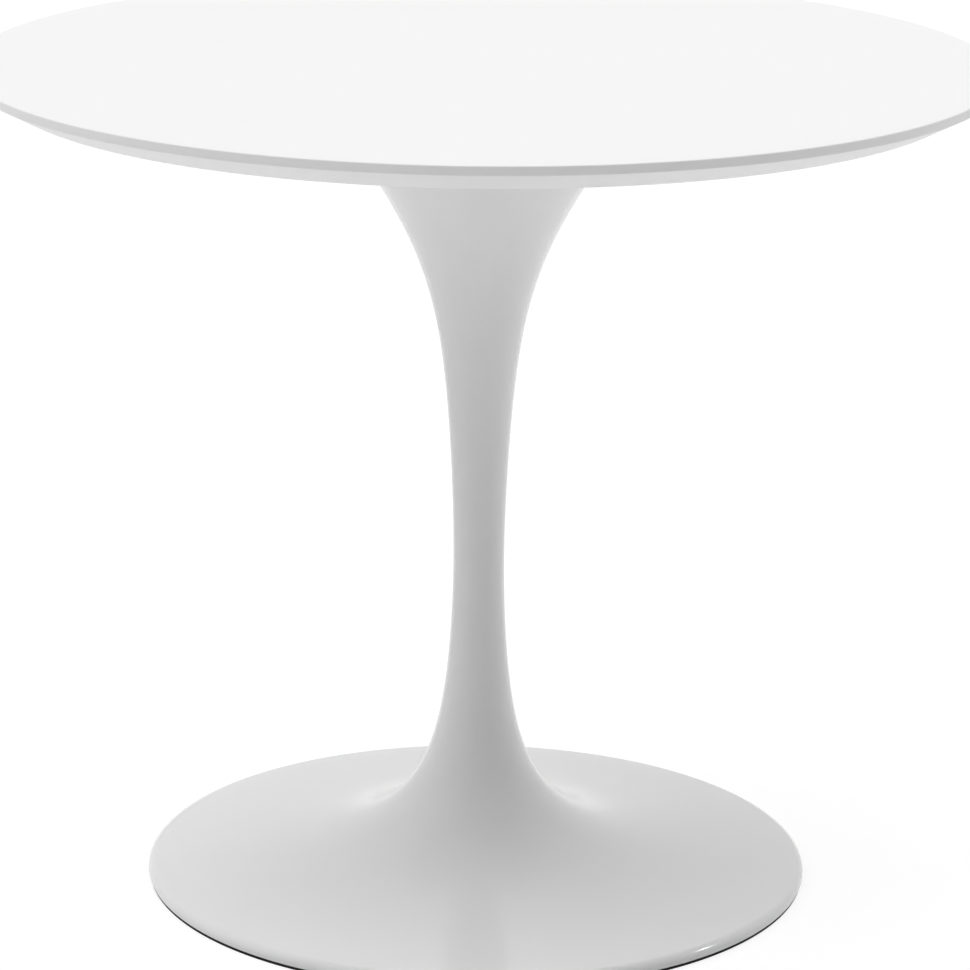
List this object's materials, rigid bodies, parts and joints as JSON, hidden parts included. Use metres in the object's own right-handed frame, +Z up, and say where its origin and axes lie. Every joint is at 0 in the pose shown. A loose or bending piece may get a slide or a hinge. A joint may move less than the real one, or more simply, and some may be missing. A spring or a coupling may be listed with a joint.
{
  "type": "round pedestal table",
  "caption": "Round pedestal table: a lacquered disc top with an undercut edge, held down by a rod on a hollow waisted stem that flares into a mouth above and a broad foot below.",
  "frame": {"origin": "centre of the base on the floor, under the middle of the table top", "axes": "+Z up along the stem; the table is round, and +X passes through a rib of the base and a gusset of the mounting plate"},
  "size_m": [0.8999, 0.9, 0.75],
  "materials": {
    "top_lacquer": "satin",
    "pedestal_lacquer": "gloss",
    "ring_rubber": "matte",
    "plate_steel": "satin",
    "fastener_zinc": "satin",
    "insert_brass": "satin",
    "ballast_iron": "matte"
  },
  "bodies": {
    "root": {"table_top": "top_lacquer", "threaded_inserts": "insert_brass", "mounting_plate": "plate_steel", "plate_hub": "plate_steel", "hub_gussets": "plate_steel", "plate_screws": "fastener_zinc", "plate_washers": "fastener_zinc", "pedestal": "pedestal_lacquer", "foot_ring": "ring_rubber", "tie_rod": "fastener_zinc", "hub_lock_nut": "fastener_zinc", "clamp_washer": "fastener_zinc", "spring_washer": "fastener_zinc", "clamp_nut": "fastener_zinc", "ballast_weights": "ballast_iron", "ballast_bolts": "fastener_zinc", "ballast_washers": "fastener_zinc"}
  },
  "joints": []
}
